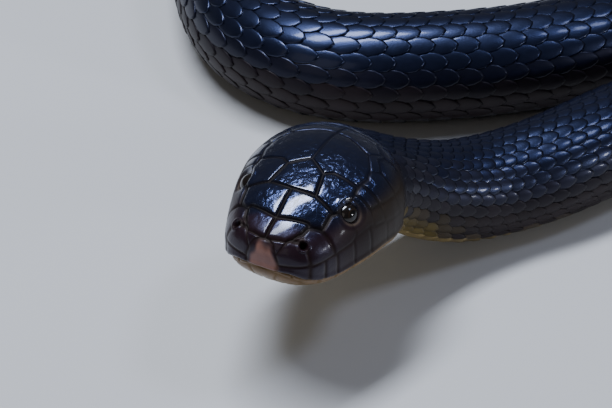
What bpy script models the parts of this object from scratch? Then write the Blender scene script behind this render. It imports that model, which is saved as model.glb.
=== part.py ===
"""King cobra, life size, lying in a loose spiral coil with the head raised off the floor.

The body is one loft along a spine: a straight run through the head, then a smooth curve through
the route's points. It is parted across the spine into head, neck, body lengths and tail.
All sizes are millimetres until a mesh is made. The head has its own axes: back, left and up.
"""

import math

import bmesh
import bpy
import numpy as np
from mathutils import Vector
from mathutils.bvhtree import BVHTree

MM = 0.001
GAP = 0.3

# Where the head is held: the tip of the snout on the line of the mouth, and the way its back points.
SNOUT_TIP = np.array([-206.6, -288.2, 48.0])
HEAD_HEADING = 62.0
HEAD_RISE = 0.0
HEAD_ROLL = -1.5

# The spine runs straight through the skull, this far above the mouth line.
SPINE_ABOVE_MOUTH = 3.0
SKULL_LENGTH = 36.0

# The route behind the skull, right of and behind the snout tip. A third value is the spine's
# height where the neck is off the floor; elsewhere the belly lies on the floor.
NECK_ROUTE = [(29.1, 47.9, 47.0), (57.5, 66, 26.5), (80.5, 78.5, 18.8)]
OUTER_TURN = [(104, 90), (129, 106), (185, 136), (255, 166), (335, 206), (405, 268), (440, 355), (420, 445),
              (355, 520), (260, 555), (160, 548), (75, 505), (8, 425), (-24, 322), (-22.5, 219)]
FRONT_LOOP = [(-8.5, 177), (18, 156), (61, 152.5), (104, 160), (138, 172.5), (195, 201), (260, 236), (322, 278)]
INNER_TURN = [(364, 335), (370, 402), (336, 460), (268, 492), (180, 488), (102, 450), (50, 388), (44, 320),
              (85, 274), (150, 268), (215, 296), (262, 345), (277, 400), (258, 442)]

# Half the body's thickness at distances from the snout.
GIRTH = [(0, 18.0), (60, 18.0), (90, 18.4), (115, 19.2), (150, 20.0), (300, 21.6), (700, 22.8), (1150, 23.2),
         (1450, 22.6), (1850, 21.0), (2220, 17.0), (2320, 14.2), (2800, 1.2)]

# The spine's height over the floor as a share of the girth: less than 1, so that the belly lies flat.
BELLY_FLAT = 0.94

# The head from the snout back: half its width, its top, its underside and the level of its widest
# line, all from the mouth at the snout; then how square its sections are above and below that line.
HEAD_HALF_WIDTH = [(0, 0), (1, 9.0), (3, 13.6), (6, 16.4), (12, 19.6), (20, 22.8), (30, 26.0), (40, 27.6),
                   (48, 27.2), (58, 24.0), (70, 20.5), (100, 18.4)]
HEAD_TOP = [(0, 2.0), (0.6, 6.4), (2.4, 9.6), (5.5, 11.4), (10, 13.0), (18.3, 16.6), (33.5, 19.2), (45, 20.0),
            (54, 19.2), (64, 17.4), (78, 17.4), (100, 20.4)]
HEAD_BOTTOM = [(0, 2.0), (1, -3.2), (3, -6.2), (6, -8.8), (12, -10.8), (20, -11.4), (30, -12.2), (46, -13.0),
               (60, -13.0), (75, -13.0), (100, -13.8)]
WIDEST_LEVEL = [(0, 2.0), (6, 0.0), (14, -1.5), (44, -1.5), (62, 1.5), (80, 3.0), (100, 3.0)]
CROWN_SQUARENESS = [(0, 2.1), (8, 2.4), (24, 2.4), (44, 2.4), (70, 2.1), (110, 2.0)]
JAW_SQUARENESS = [(0, 2.1), (20, 2.7), (50, 2.6), (80, 2.1), (110, 2.0)]
NECK_END = 110.0

# Where the body is parted, from the snout.
HEAD_LENGTH = 58.0
NECK_LENGTH = 150.0
VENT = 2230.0
BODY_PARTS = 9
TAIL_PARTS = 2

HEAD_SIDES = 32
BODY_SIDES = 17
RING_STEP = 17.0

EYE_PLACE = (24.3, 16.8, 9.9)
EYE_RADIUS = 3.9
NOSTRIL_PLACE = (5.9, 11.6, 8.6)
NOSTRIL_SIZE = (1.5, 1.7, 1.1)

# The line of the mouth from the snout to its corner, then the jaw's cut down through the throat.
MOUTH_LINE = [(-6, 0.4), (0.6, 0.2), (2.5, -1.8), (6, -3.6), (12, -4.8), (20, -4.8), (30, -4.6), (40, -5.4),
              (46, -4.6), (50, -3.0)]
THROAT_CUT = [(52.0, -8), (52.5, -30), (-6, -30)]

# The shields of the crown, seen from above: back from the snout and out from the middle line.
# Those that reach the middle line have a twin, except the frontal, which lies across it.
CROWN_SHIELDS = {
    "internasal": [(3.0, 0), (9.9, 0), (12.0, 9.8), (8.2, 10.6), (4.4, 6.4)],
    "prefrontal": [(9.9, 0), (20.3, 0), (20.7, 8.2), (18.6, 15.0), (13.0, 14.4), (12.0, 9.8)],
    "supraocular": [(20.7, 8.2), (18.9, 15.2), (24.0, 17.2), (31.2, 17.0), (31.4, 9.0), (29.6, 6.3)],
    "parietal": [(34.2, 0), (29.6, 6.3), (31.4, 9.0), (31.6, 17.2), (36.5, 19.0), (46.0, 13.4), (50.6, 5.0), (51.4, 0)],
    "occipital": [(51.4, 0), (50.6, 5.0), (46.4, 13.2), (50.0, 16.0), (56.0, 12.0), (57.2, 0)],
}
FRONTAL = [(20.3, 0), (20.7, 8.2), (29.6, 6.3), (34.2, 0)]
MENTAL = [(-4.4, -1.4), (0, -1.0), (4.4, -1.4), (3.2, -4.0), (0, -5.0), (-3.2, -4.0)]
ROSTRAL = [(-5.0, 0.8), (-5.4, 4.0), (-3.0, 8.4), (0, 9.8), (3.0, 8.4), (5.4, 4.0), (5.0, 0.8), (0, 1.5)]
FRONT_SHIELDS = {
    "nasal_front": [(5.6, 3.2), (5.2, 6.2), (7.4, 9.6), (11.0, 10.2), (13.6, 8.0), (14.2, 3.4)],
    "upper_lip_first": [(5.2, 0.8), (5.6, 3.1), (14.2, 3.3), (14.0, -1.6), (11.0, -0.9), (8.2, 0.0)],
}
FRONT_JAW_SHIELDS = {
    "lower_lip_first": [(5.0, -1.4), (8.4, -2.5), (11.4, -3.8), (12.6, -4.6), (10.6, -6.4), (6.2, -5.6), (4.0, -4.0)],
}

# The shields of the cheek, seen from the side: back from the snout and up from the mouth.
CHEEK_SHIELDS = {
    "nasal_back": [(5.0, 3.2), (4.8, 8.4), (5.8, 10.8), (8.8, 11.6), (12.6, 10.6), (12.2, 3.6)],
    "preocular": [(12.2, 3.6), (12.6, 10.6), (17.8, 13.2), (21.2, 12.0), (20.6, 6.6), (18.5, 4.4)],
    "postocular_low": [(28.6, 5.2), (29.9, 9.6), (33.4, 9.4), (32.8, 4.6)],
    "postocular_high": [(30.0, 10.2), (29.6, 14.4), (33.2, 15.6), (33.6, 10.0)],
    "temporal_front_low": [(33.2, 3.8), (33.8, 9.6), (41.6, 8.6), (41.0, 2.6)],
    "temporal_front_high": [(33.8, 9.6), (33.6, 15.6), (38.0, 16.2), (42.4, 14.0), (41.6, 8.6)],
    "temporal_back_low": [(41.0, 2.6), (41.6, 8.6), (50.0, 8.0), (50.4, 0.6)],
    "temporal_back_high": [(41.6, 8.6), (42.4, 14.0), (46.5, 15.0), (51.0, 13.4), (50.0, 8.0)],
}

# Where the shields along the upper and lower lip part, and the upper ones' height over the mouth.
UPPER_LIP_PARTS = [4.2, 8.0, 12.2, 18.8, 25.6, 33.0, 41.2, 49.6]
UPPER_LIP_TOPS = [2.9, 3.1, 3.6, 4.4, 5.6, 3.9, 2.6, -0.4]
LOWER_LIP_PARTS = [3.4, 7.4, 12.8, 19.2, 26.0, 33.0, 39.6, 45.6]
LOWER_LIP_HEIGHT = 3.6
CHIN_SHIELDS = {
    "chin_front": [(8.0, 0.6), (8.4, 5.6), (18.0, 6.6), (18.6, 0.6)],
    "chin_back": [(19.4, 0.6), (18.8, 6.8), (28.6, 6.4), (29.4, 0.6)],
}

# A shield's raised face is set in from the seam's middle, stands this proud and is rooted this deep.
# Its middle is higher than its edge by a share of its half width.
SEAM = 0.75
SHIELD_RISE = 0.45
SHIELD_CROWN = 0.035
SHIELD_ROOT = 1.1
SHIELD_BEVEL = 0.55
SHIELD_STEP = 6.0

BLACK_SCALE = (0.012, 0.013, 0.020)
BROWN_SCALE = (0.050, 0.036, 0.030)
PALE_SCALE = (0.330, 0.250, 0.120)
EYE_COLOUR = (0.020, 0.012, 0.008)


def smooth_steps(knots, places):
    """A smooth curve through the knots that never swings past them, read at the given places."""
    x = np.array([knot[0] for knot in knots], float)
    y = np.array([knot[1] for knot in knots], float)
    run = np.diff(x)
    rise = np.diff(y) / run
    slope = np.zeros(len(x))
    slope[0] = rise[0]
    slope[-1] = rise[-1]
    for i in range(1, len(x) - 1):
        if rise[i - 1] * rise[i] > 0:
            first = 2 * run[i] + run[i - 1]
            second = run[i] + 2 * run[i - 1]
            slope[i] = (first + second) / (first / rise[i - 1] + second / rise[i])
    places = np.clip(np.asarray(places, float), x[0], x[-1])
    i = np.clip(np.searchsorted(x, places, "right") - 1, 0, len(run) - 1)
    w = (places - x[i]) / run[i]
    value = y[i] * (1 + 2 * w) * (1 - w) ** 2 + y[i + 1] * w * w * (3 - 2 * w)
    return value + run[i] * (slope[i] * w * (1 - w) ** 2 + slope[i + 1] * w * w * (w - 1))


def blunt(knots, places):
    """The same curve over the root of the distance, which rounds the snout off bluntly."""
    return smooth_steps([(math.sqrt(at), value) for at, value in knots], np.sqrt(places))


def head_axes():
    """Unit vectors of the head: back, left and up."""
    heading = math.radians(HEAD_HEADING)
    rise = math.radians(HEAD_RISE)
    roll = math.radians(HEAD_ROLL)
    back = np.array([math.cos(heading) * math.cos(rise), math.sin(heading) * math.cos(rise), math.sin(rise)])
    level_left = np.array([math.sin(heading), -math.cos(heading), 0.0])
    level_up = np.cross(level_left, back)
    left = math.cos(roll) * level_left - math.sin(roll) * level_up
    return back, left, np.cross(left, back)


BACK, LEFT, UP = head_axes()
BELLY_ARC = 2 * math.acos(BELLY_FLAT)


def head_point(along, left, up):
    return SNOUT_TIP + along * BACK + left * LEFT + up * UP


def girth(along):
    return smooth_steps(GIRTH, along)


def spline(points, first_direction):
    """Points about a millimetre apart on the smooth curve through the given points."""
    points = np.array(points, float)
    h = np.linalg.norm(np.diff(points, axis=0), axis=1)
    count = len(points)
    rows = np.zeros((count, count))
    sums = np.zeros((count, 3))
    rows[0, 0] = 1
    sums[0] = first_direction
    for i in range(1, count - 1):
        rows[i, i - 1] = 1 / h[i - 1]
        rows[i, i] = 2 / h[i - 1] + 2 / h[i]
        rows[i, i + 1] = 1 / h[i]
        sums[i] = 3 * ((points[i] - points[i - 1]) / h[i - 1] ** 2 + (points[i + 1] - points[i]) / h[i] ** 2)
    rows[-1, -2:] = 1, 2
    sums[-1] = 3 * (points[-1] - points[-2]) / h[-1]
    slopes = np.linalg.solve(rows, sums)
    pieces = []
    for i in range(count - 1):
        w = np.linspace(0, 1, max(2, int(h[i])), endpoint=False)[:, None]
        piece = points[i] * (1 + 2 * w) * (1 - w) ** 2 + points[i + 1] * w * w * (3 - 2 * w)
        piece += h[i] * (slopes[i] * w * (1 - w) ** 2 + slopes[i + 1] * w * w * (w - 1))
        pieces.append(piece)
    return np.concatenate(pieces + [points[-1:]])


def route_points():
    """The route in space, with the spine's height over the floor worked out from the girth."""
    points = [head_point(SKULL_LENGTH, 0, SPINE_ABOVE_MOUTH)]
    along = SKULL_LENGTH
    for place in NECK_ROUTE + OUTER_TURN + FRONT_LOOP + INNER_TURN:
        flat = SNOUT_TIP[:2] + np.array(place[:2], float)
        along += np.linalg.norm(flat - points[-1][:2])
        height = place[2] if len(place) == 3 else BELLY_FLAT * float(girth(along))
        points.append(np.array([flat[0], flat[1], height]))
    return points


def make_spine():
    """Distances from the snout and the spine's points there, a millimetre apart."""
    start = head_point(0, 0, SPINE_ABOVE_MOUTH)
    skull = [start + BACK * step for step in np.arange(0, SKULL_LENGTH)]
    curve = np.concatenate([skull, spline(route_points(), BACK)])
    along = np.concatenate([[0], np.cumsum(np.linalg.norm(np.diff(curve, axis=0), axis=1))])
    even = np.arange(0, math.floor(along[-1]) + 1, 1.0)
    return even, np.stack([np.interp(even, along, curve[:, axis]) for axis in range(3)], axis=1)


ALONG, SPINE = make_spine()
TOTAL_LENGTH = float(ALONG[-1])


def spine_at(along):
    """The spine's point at a distance from the snout, with its direction, side and up."""
    point = np.array([np.interp(along, ALONG, SPINE[:, axis]) for axis in range(3)])
    ahead = np.array([np.interp(along + 2, ALONG, SPINE[:, axis]) for axis in range(3)])
    behind = np.array([np.interp(along - 2, ALONG, SPINE[:, axis]) for axis in range(3)])
    direction = (ahead - behind) / np.linalg.norm(ahead - behind)
    side = np.cross(direction, [0, 0, 1])
    side /= np.linalg.norm(side)
    up = np.cross(side, direction)
    roll = math.radians(HEAD_ROLL) * max(0.0, 1 - along / NECK_END)
    return point, direction, math.cos(roll) * side - math.sin(roll) * up, math.cos(roll) * up + math.sin(roll) * side


def section_shape(along):
    """The widest line's height over the spine, half width, height over and depth under that line,
    and the squareness of the section above and below it."""
    body = float(girth(along))
    if along >= NECK_END:
        return 0.0, body, body, body, 2.0, 2.0
    share = float(smooth_steps([(75, 0), (NECK_END, 1)], along))
    level = float(blunt(WIDEST_LEVEL, along))
    half = float(blunt(HEAD_HALF_WIDTH, along)) * (1 - share) + body * share
    top = (float(blunt(HEAD_TOP, along)) - level) * (1 - share) + body * share
    under = (level - float(blunt(HEAD_BOTTOM, along))) * (1 - share) + body * share
    crown = float(smooth_steps(CROWN_SQUARENESS, along))
    jaw = float(smooth_steps(JAW_SQUARENESS, along))
    return (level - SPINE_ABOVE_MOUTH) * (1 - share), half, top, under, crown, jaw


def ring(along, sides):
    """The points of the section at a distance from the snout, round from the belly's one edge to the
    other, with the belly between them flat where it meets the floor."""
    point, _, side, up = spine_at(along)
    level, half, top, under, crown, jaw = section_shape(along)
    points = []
    for i in range(sides):
        turn = (2 * math.pi - BELLY_ARC) * i / (sides - 1) + BELLY_ARC / 2 - math.pi / 2
        across, height = math.cos(turn), math.sin(turn)
        power = crown if height >= 0 else jaw
        tall = top if height >= 0 else under
        reach = (abs(across / half) ** power + abs(height / tall) ** power) ** (-1 / power)
        place = point + reach * across * side + (level + reach * height) * up
        place[2] = max(place[2], 0.0)
        points.append(place)
    return points


def named_mesh(name, vertices, faces):
    mesh = bpy.data.meshes.new(name)
    mesh.from_pydata([tuple(np.array(vertex) * MM) for vertex in vertices], [], faces)
    mesh.update()
    return mesh


def loft(name, stations, sides, tip_first=None, tip_last=None):
    """One closed body through the sections at the stations, closed by a face or a tip at each end."""
    vertices = []
    faces = []
    for along in stations:
        vertices += ring(along, sides)
    for row in range(len(stations) - 1):
        for i in range(sides):
            j = (i + 1) % sides
            faces.append((row * sides + i, row * sides + j, (row + 1) * sides + j, (row + 1) * sides + i))
    last = (len(stations) - 1) * sides
    if tip_first is None:
        faces.append(tuple(range(sides))[::-1])
    else:
        vertices.append(tip_first)
        faces += [(len(vertices) - 1, (i + 1) % sides, i) for i in range(sides)]
    if tip_last is None:
        faces.append(tuple(last + i for i in range(sides)))
    else:
        vertices.append(tip_last)
        faces += [(len(vertices) - 1, last + i, last + (i + 1) % sides) for i in range(sides)]
    mesh = named_mesh(name, vertices, faces)
    outward(mesh)
    return mesh


def outward(mesh):
    """Turns every face of a closed mesh outward."""
    work = bmesh.new()
    work.from_mesh(mesh)
    bmesh.ops.recalc_face_normals(work, faces=work.faces)
    if work.calc_volume(signed=True) < 0:
        bmesh.ops.reverse_faces(work, faces=work.faces)
    work.to_mesh(mesh)
    work.free()


def material(name, colour, roughness):
    made = bpy.data.materials.new(name)
    made.use_nodes = True
    shader = made.node_tree.nodes["Principled BSDF"]
    shader.inputs["Base Color"].default_value = (*colour, 1.0)
    shader.inputs["Roughness"].default_value = roughness
    shader.inputs["Metallic"].default_value = 0.0
    return made


def add_object(mesh, collection, finish=None):
    added = bpy.data.objects.new(mesh.name, mesh)
    collection.objects.link(added)
    if finish is not None:
        mesh.materials.clear()
        mesh.materials.append(finish)
        mesh.shade_smooth()
        mesh.set_sharp_from_angle(angle=math.radians(35))
    return added


def helper_collection(name):
    made = bpy.data.collections.new(name)
    bpy.context.scene.collection.children.link(made)
    return made


def as_helper(added):
    added.hide_render = True
    added.display_type = "WIRE"
    return added


def apply_boolean(target, operation, operand, solver="EXACT"):
    """Cuts, joins or crosses the target with an object or a whole collection, and removes the operand."""
    step = target.modifiers.new("Boolean", "BOOLEAN")
    step.operation = operation
    step.solver = solver
    if isinstance(operand, bpy.types.Collection):
        step.operand_type = "COLLECTION"
        step.collection = operand
        used = list(operand.objects)
    else:
        step.object = operand
        used = [operand]
    graph = bpy.context.evaluated_depsgraph_get()
    made = bpy.data.meshes.new_from_object(target.evaluated_get(graph))
    target.modifiers.clear()
    target.data = made
    for one in used:
        bpy.data.objects.remove(one)


def keep_largest(target):
    """Keeps only the largest closed surface of the object's mesh."""
    work = bmesh.new()
    work.from_mesh(target.data)
    bmesh.ops.remove_doubles(work, verts=work.verts, dist=1e-6)
    bmesh.ops.dissolve_degenerate(work, edges=work.edges, dist=1e-6)
    seen = set()
    groups = []
    for face in work.faces:
        if face in seen:
            continue
        group = [face]
        seen.add(face)
        for member in group:
            for edge in member.edges:
                for other in edge.link_faces:
                    if other not in seen:
                        seen.add(other)
                        group.append(other)
        groups.append(group)
    groups.sort(key=lambda group: sum(face.calc_area() for face in group))
    for group in groups[:-1]:
        bmesh.ops.delete(work, geom=group, context="FACES")
    loose = [vertex for vertex in work.verts if not vertex.link_faces]
    bmesh.ops.delete(work, geom=loose, context="VERTS")
    work.to_mesh(target.data)
    work.free()


def jaw_prism(name, outline):
    """A block through the whole head whose side view is the outline, in head axes."""
    reach = 60.0
    count = len(outline)
    vertices = [head_point(along, left, up) for left in (-reach, reach) for along, up in outline]
    faces = [tuple(range(count)), tuple(range(count, 2 * count))]
    faces += [(i, (i + 1) % count, count + (i + 1) % count, count + i) for i in range(count)]
    mesh = named_mesh(name, vertices, faces)
    outward(mesh)
    return mesh


def grown(outline, gap):
    """The outline moved outward by the gap, edge by edge."""
    points = np.array(outline, float)
    area = sum(np.cross(points[i - 1], points[i]) for i in range(len(points)))
    moved = []
    for i, point in enumerate(points):
        before = points[i] - points[i - 1]
        after = points[(i + 1) % len(points)] - point
        normals = [np.array([edge[1], -edge[0]]) / np.linalg.norm(edge) for edge in (before, after)]
        middle = normals[0] + normals[1]
        moved.append(point + np.sign(area) * gap * middle / (middle @ normals[0]))
    return [tuple(point) for point in moved]


def ball(name, place, size, segments, rings):
    """An ellipsoid of half axes size at a place in head axes, turned with the head."""
    mesh = bpy.data.meshes.new(name)
    work = bmesh.new()
    bmesh.ops.create_uvsphere(work, u_segments=segments, v_segments=rings, radius=1.0)
    for vertex in work.verts:
        along, left, up = vertex.co.z * size[0], vertex.co.x * size[1], vertex.co.y * size[2]
        vertex.co = Vector(head_point(place[0] + along, place[1] + left, place[2] + up) * MM)
    work.to_mesh(mesh)
    work.free()
    outward(mesh)
    return mesh


def mirrored(place):
    return (place[0], -place[1], place[2])


def stepped(outline, step):
    """The outline with its long edges divided."""
    points = []
    for i, point in enumerate(outline):
        ahead = np.array(outline[(i + 1) % len(outline)], float)
        point = np.array(point, float)
        count = max(1, int(math.ceil(np.linalg.norm(ahead - point) / step)))
        points += [point + (ahead - point) * k / count for k in range(count)]
    return points


def cast(tree, view, point, side):
    """Where a point of a view falls on the head, with the directions out of the surface and of the view."""
    if view == "above":
        start, way = head_point(point[0], side * point[1], 60), -UP
    elif view == "below":
        start, way = head_point(point[0], side * point[1], -60), UP
    elif view == "side":
        start, way = head_point(point[0], side * 60, point[1]), -side * LEFT
    else:
        start, way = head_point(-30, point[0], point[1]), BACK
    place, normal, _, _ = tree.ray_cast(Vector(start * MM), Vector(way))
    if place is None:
        raise ValueError("a shield's outline leaves the head at %s" % (tuple(point),))
    return np.array(place) / MM, np.array(normal), way


def shield(name, tree, view, outline, side=1):
    """A raised plate on the head: bevelled at its seam, slightly domed, and rooted below the skin."""
    edge = stepped(grown(outline, -SEAM / 2), SHIELD_STEP)
    count = len(edge)
    middle = np.mean(edge, axis=0)
    rings = []
    for shrink, root, rise in ((0, SHIELD_ROOT, 0), (0, 0, SHIELD_RISE * 0.4), (SHIELD_BEVEL, 0, SHIELD_RISE)):
        for point in edge:
            toward = middle - point
            place, normal, way = cast(tree, view, point + toward / np.linalg.norm(toward) * shrink, side)
            rings.append(place + way * root + normal * rise)
    place, normal, way = cast(tree, view, middle, side)
    half = np.mean([np.linalg.norm(point - middle) for point in edge])
    rings += [place + way * SHIELD_ROOT, place + normal * (SHIELD_RISE + SHIELD_CROWN * half)]
    faces = []
    for i in range(count):
        j = (i + 1) % count
        faces.append((i, j, 3 * count))
        faces.append((2 * count + i, 2 * count + j, 3 * count + 1))
        for row in (0, count):
            faces.append((row + i, row + j, row + count + j, row + count + i))
    mesh = named_mesh(name, rings, faces)
    outward(mesh)
    return mesh


def facing(outline, side):
    """A front view's outline on the left or the right side of the middle line."""
    return [(side * out, up) for out, up in outline]


def along_mouth(along):
    """The mouth line's height at a distance from the snout."""
    return float(np.interp(along, [point[0] for point in MOUTH_LINE], [point[1] for point in MOUTH_LINE]))


def upper_lip_shields():
    """Outlines of the shields between the mouth line and the cheek, seen from the side."""
    clear = SEAM / 2 + 0.2
    for i in range(len(UPPER_LIP_PARTS) - 1):
        front, back = UPPER_LIP_PARTS[i], UPPER_LIP_PARTS[i + 1]
        yield [(front, along_mouth(front) + clear), (front + 0.5, UPPER_LIP_TOPS[i]),
               (back + 0.5, UPPER_LIP_TOPS[i + 1]), (back, along_mouth(back) + clear)]


def lower_lip_shields():
    """Outlines of the shields under the mouth line, seen from the side."""
    clear = SEAM / 2 + 0.4
    for i in range(len(LOWER_LIP_PARTS) - 1):
        front, back = LOWER_LIP_PARTS[i], LOWER_LIP_PARTS[i + 1]
        deep = [min(1.0, 0.5 + at / 12) * LOWER_LIP_HEIGHT for at in (front, back)]
        yield [(front, along_mouth(front) - clear), (front + 0.4, along_mouth(front) - deep[0]),
               (back + 0.4, along_mouth(back) - deep[1]), (back, along_mouth(back) - clear)]


def surface_of(target):
    """The surface of an object's mesh, to set shields on."""
    work = bmesh.new()
    work.from_mesh(target.data)
    tree = BVHTree.FromBMesh(work)
    work.free()
    return tree


def raise_shields(target, meshes, name):
    """Fuses the raised plates with the body that carries them, in one union."""
    plates = helper_collection(name)
    for mesh in meshes:
        as_helper(add_object(mesh, plates))
    apply_boolean(target, "UNION", plates)
    bpy.data.collections.remove(plates)


def head_shields(tree):
    """Every raised shield of the head above the mouth."""
    meshes = [shield("rostral", tree, "front", ROSTRAL)]
    frontal = FRONTAL + [(along, -out) for along, out in FRONTAL[-2:0:-1]]
    meshes.append(shield("frontal", tree, "above", frontal))
    for side in (1, -1):
        meshes += [shield(name, tree, "above", outline, side) for name, outline in CROWN_SHIELDS.items()]
        meshes += [shield(name, tree, "side", outline, side) for name, outline in CHEEK_SHIELDS.items()]
        meshes += [shield(name, tree, "front", facing(outline, side)) for name, outline in FRONT_SHIELDS.items()]
        meshes += [shield("upper_lip", tree, "side", outline, side) for outline in upper_lip_shields()]
    return meshes


def jaw_shields(tree):
    """Every raised shield of the lower jaw."""
    meshes = [shield("mental", tree, "front", MENTAL)]
    for side in (1, -1):
        meshes += [shield(name, tree, "below", outline, side) for name, outline in CHIN_SHIELDS.items()]
        meshes += [shield(name, tree, "front", facing(outline, side)) for name, outline in FRONT_JAW_SHIELDS.items()]
        meshes += [shield("lower_lip", tree, "side", outline, side) for outline in lower_lip_shields()]
    return meshes


def head_stations():
    """Close sections over the blunt snout, then wider apart to the back of the head."""
    snout = [0.25, 0.9, 2.0, 3.5, 5.5, 8.0]
    return snout + list(np.arange(11.0, HEAD_LENGTH - 2, 3.5)) + [HEAD_LENGTH - GAP / 2]


def build_head(parts, helpers, skin, throat, eye_finish):
    """The head with its eye sockets and nostrils, the lower jaw parted from it, and the eyes."""
    tip = head_point(0, 0, WIDEST_LEVEL[0][1])
    head = add_object(loft("head", head_stations(), HEAD_SIDES, tip_first=tip), parts, skin)
    jaw = add_object(head.data.copy(), parts, throat)
    jaw.name = "lower_jaw"
    jaw.data.name = "lower_jaw"
    outline = MOUTH_LINE + THROAT_CUT
    apply_boolean(jaw, "INTERSECT", as_helper(add_object(jaw_prism("jaw_block", outline), helpers)))
    tree = surface_of(head)
    apply_boolean(head, "DIFFERENCE", as_helper(add_object(jaw_prism("jaw_room", grown(outline, GAP)), helpers)))
    raise_shields(head, head_shields(tree), "head_plates")
    raise_shields(jaw, jaw_shields(tree), "jaw_plates")
    for side, place, nostril in (("left", EYE_PLACE, NOSTRIL_PLACE),
                                 ("right", mirrored(EYE_PLACE), mirrored(NOSTRIL_PLACE))):
        socket = ball("socket", place, [EYE_RADIUS + GAP] * 3, 20, 12)
        apply_boolean(head, "DIFFERENCE", as_helper(add_object(socket, helpers)))
        pit = ball("pit", nostril, NOSTRIL_SIZE, 10, 6)
        apply_boolean(head, "DIFFERENCE", as_helper(add_object(pit, helpers)))
        add_object(ball("eye_" + side, place, [EYE_RADIUS] * 3, 16, 10), parts, eye_finish)
    for one in (head, jaw):
        keep_largest(one)


def body_parts():
    """The names of the body's lengths and where each begins and ends, from the head back."""
    cuts = [HEAD_LENGTH, NECK_LENGTH]
    cuts += list(np.linspace(NECK_LENGTH, VENT, BODY_PARTS + 1)[1:])
    cuts += list(np.linspace(VENT, TOTAL_LENGTH, TAIL_PARTS + 1)[1:])
    names = ["neck"] + ["body_%d" % (i + 1) for i in range(BODY_PARTS)]
    names += ["tail_%d" % (i + 1) for i in range(TAIL_PARTS)]
    return [(name, cuts[i], cuts[i + 1]) for i, name in enumerate(names)]


def build_body(parts, finishes):
    for name, begin, end in body_parts():
        last = end >= TOTAL_LENGTH
        first = begin + GAP / 2
        stop = TOTAL_LENGTH - 2 if last else end - GAP / 2
        step = RING_STEP / 2 if name == "neck" else RING_STEP
        stations = np.linspace(first, stop, max(3, int(round((stop - first) / step)) + 1))
        tip = spine_at(TOTAL_LENGTH)[0] if last else None
        sides = HEAD_SIDES if name == "neck" else BODY_SIDES
        add_object(loft(name, stations, sides, tip_last=tip), parts, finishes[name.split("_")[0]])


def main():
    for leftover in list(bpy.data.objects):
        bpy.data.objects.remove(leftover)
    parts = helper_collection("king_cobra")
    helpers = helper_collection("cutters")
    crown = material("crown_shields", BLACK_SCALE, 0.28)
    throat = material("throat_scales", PALE_SCALE, 0.45)
    flank = material("body_scales", BLACK_SCALE, 0.35)
    nape = material("neck_scales", BROWN_SCALE, 0.40)
    iris = material("eye", EYE_COLOUR, 0.05)
    build_head(parts, helpers, crown, throat, iris)
    build_body(parts, {"neck": nape, "body": flank, "tail": flank})


main()
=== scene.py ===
"""The looks of a life-size king cobra, lying in a loose coil with its head held off the floor.

One skin runs from the snout to the tail's tip and takes the place of every solid but the eyes. Its
head carries the large shields as relief, the mouth, the nostrils and the rims round the eyes. From
the nape back it is covered by scales and belly plates, made in loops and set on it row by row.
Sizes are millimetres until a mesh is made. The head has its own axes: back, left and up. A place on
the body is its distance from the snout along the spine and its turn round it, in radians from the
left side over the back.
"""

import math

import bpy
import numpy as np
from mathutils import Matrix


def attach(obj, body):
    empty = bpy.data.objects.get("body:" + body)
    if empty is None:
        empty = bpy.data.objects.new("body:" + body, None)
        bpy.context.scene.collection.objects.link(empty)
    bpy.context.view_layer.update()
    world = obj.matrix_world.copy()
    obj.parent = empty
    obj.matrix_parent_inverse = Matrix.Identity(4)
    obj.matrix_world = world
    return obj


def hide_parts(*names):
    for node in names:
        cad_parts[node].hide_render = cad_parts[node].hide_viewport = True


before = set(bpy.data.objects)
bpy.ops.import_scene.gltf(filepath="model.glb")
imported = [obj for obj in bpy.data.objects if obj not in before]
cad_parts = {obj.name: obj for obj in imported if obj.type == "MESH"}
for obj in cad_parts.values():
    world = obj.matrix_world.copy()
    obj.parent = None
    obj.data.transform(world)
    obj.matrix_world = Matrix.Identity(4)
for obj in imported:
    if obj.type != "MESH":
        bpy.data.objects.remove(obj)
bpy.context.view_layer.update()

MM = 0.001
random = np.random.default_rng(7)
OVER_BACK = math.pi / 2
UNDER_BELLY = -math.pi / 2

# The head's place and the body's route, as the solids have them. A route's points are measured from
# under the snout's tip, and on the neck they also give the spine's height over the floor.
SNOUT_TIP = np.array([-206.6, -288.2, 48.0])
HEAD_HEADING = 62.0
HEAD_ROLL = -1.5
SPINE_ABOVE_MOUTH = 3.0
SKULL_LENGTH = 36.0
NECK_ROUTE = [(29.1, 47.9, 47.0), (57.5, 66, 26.5), (80.5, 78.5, 18.8)]
OUTER_TURN = [(104, 90), (129, 106), (185, 136), (255, 166), (335, 206), (405, 268), (440, 355),
              (420, 445), (355, 520), (260, 555), (160, 548), (75, 505), (8, 425), (-24, 322), (-22.5, 219)]
FRONT_LOOP = [(-8.5, 177), (18, 156), (61, 152.5), (104, 160), (138, 172.5), (195, 201), (260, 236),
              (322, 278)]
INNER_TURN = [(364, 335), (370, 402), (336, 460), (268, 492), (180, 488), (102, 450), (50, 388), (44, 320),
              (85, 274), (150, 268), (215, 296), (262, 345), (277, 400), (258, 442)]

# The body's half thickness along its length, and how high over the floor that puts the spine.
GIRTH = [(0, 18.0), (60, 18.0), (90, 18.4), (115, 19.2), (150, 20.0), (300, 21.6), (700, 22.8), (1150, 23.2),
         (1450, 22.6), (1850, 21.0), (2220, 17.0), (2320, 14.2), (2800, 1.2)]
BELLY_FLAT = 0.94

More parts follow.
